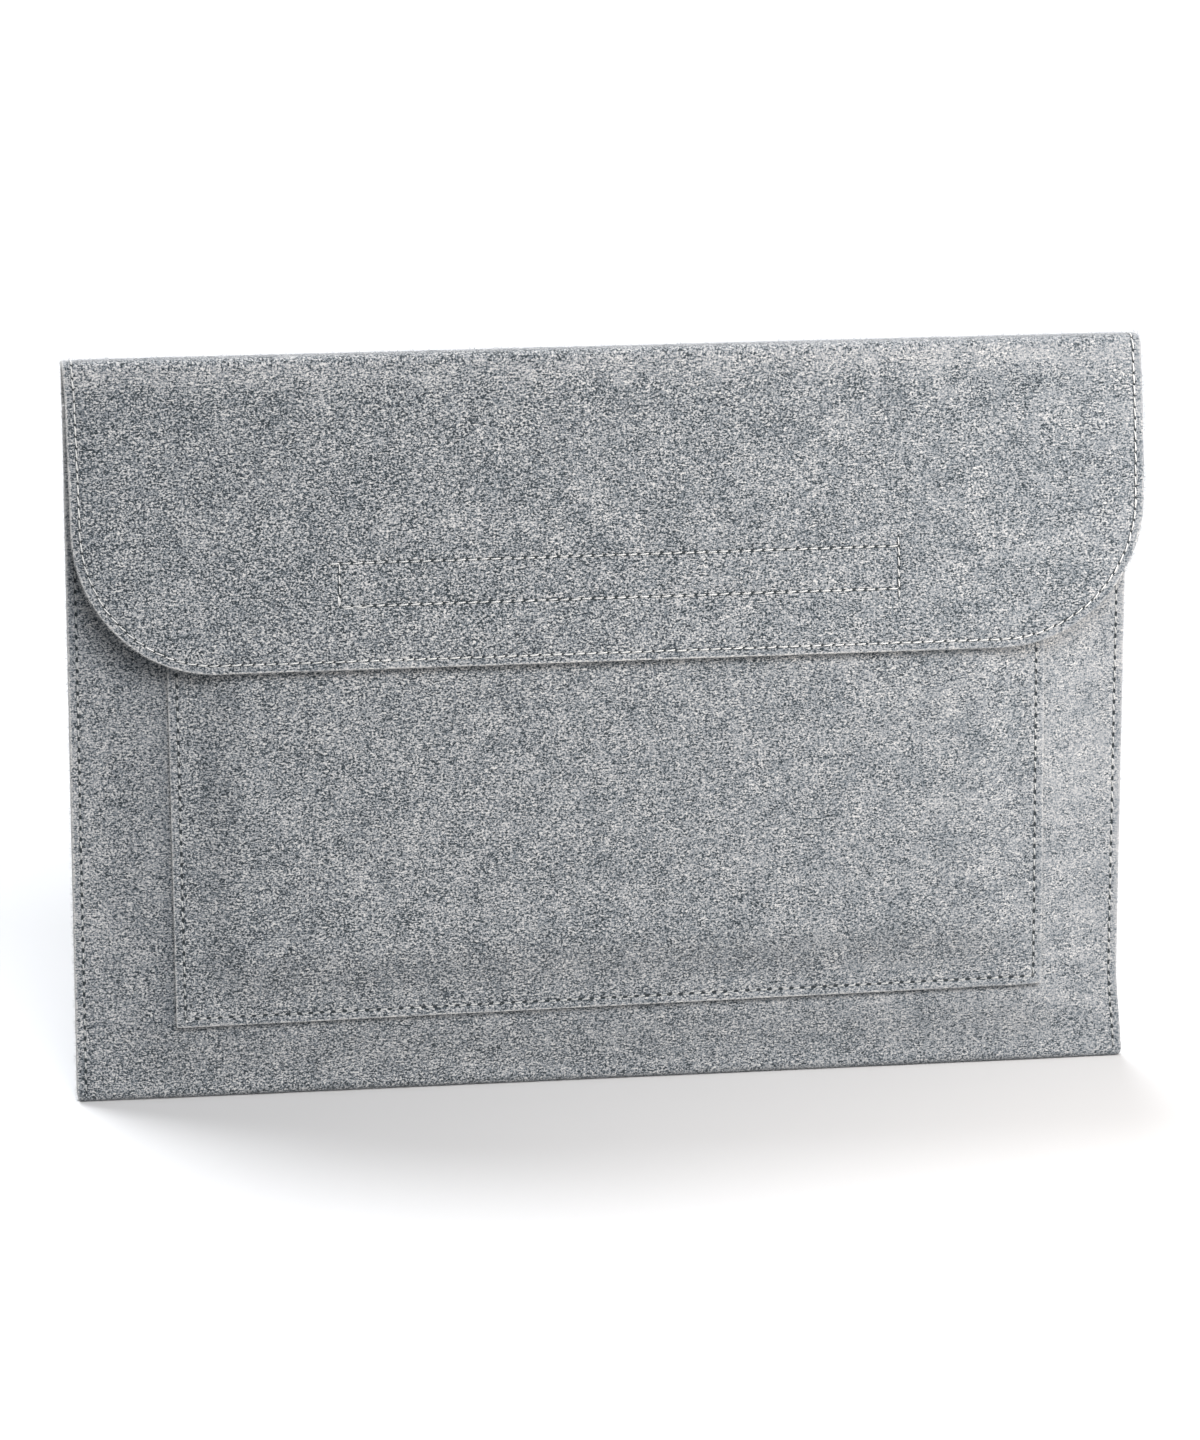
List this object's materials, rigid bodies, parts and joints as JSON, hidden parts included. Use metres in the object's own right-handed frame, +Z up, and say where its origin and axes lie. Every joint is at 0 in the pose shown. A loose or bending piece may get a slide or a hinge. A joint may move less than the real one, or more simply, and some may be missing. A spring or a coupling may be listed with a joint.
{
  "type": "laptop sleeve",
  "caption": "Pressed-felt laptop sleeve with a fold-over flap, a hook-and-loop closure and a stitched front slip pocket, standing on its folded bottom edge.",
  "frame": {"origin": "centre of the whole sleeve's box, at the height of the bottom fold that it stands on", "axes": "+X along the width, to the right as the flap is faced; -Y the flap and pocket side; +Z up, from the bottom fold to the top fold"},
  "size_m": [0.37, 0.0288, 0.2603],
  "materials": {
    "felt": "matt mottled mid-grey pressed felt with light and dark fibres",
    "thread": "light grey twisted sewing thread",
    "hook_tape": "dark grey woven tape with short stiff hooks",
    "loop_tape": "dark grey napped loop tape"
  },
  "bodies": {
    "body": {"back_panel": "felt", "front_panel": "felt", "bottom_fold": "felt", "pocket_panel": "felt", "loop_strip": "loop_tape", "left_seam_needle_thread": "thread", "left_seam_bobbin_thread": "thread", "right_seam_needle_thread": "thread", "right_seam_bobbin_thread": "thread", "pocket_needle_thread": "thread", "pocket_bobbin_thread": "thread", "loop_strip_needle_thread": "thread", "loop_strip_bobbin_thread": "thread"},
    "fold": {"flap_fold": "felt", "fold_edge_thread": "thread"},
    "flap": {"flap_panel": "felt", "hook_strip": "hook_tape", "flap_edge_needle_thread": "thread", "flap_edge_bobbin_thread": "thread", "hook_strip_needle_thread": "thread", "hook_strip_bobbin_thread": "thread"}
  },
  "joints": [
    {"name": "back_crease", "type": "hinge", "parent": "body", "child": "fold", "pos_m": [0, 0.00968, 0.25875], "axis": [-1, 0, 0], "range_deg": [0, 90]},
    {"name": "front_crease", "type": "hinge", "parent": "fold", "child": "flap", "pos_m": [0, 0.00018, 0.25875], "axis": [-1, 0, 0], "range_deg": [0, 90]}
  ],
  "couplings": [
    {"joint": "back_crease", "follows": "front_crease", "ratio": 1}
  ]
}
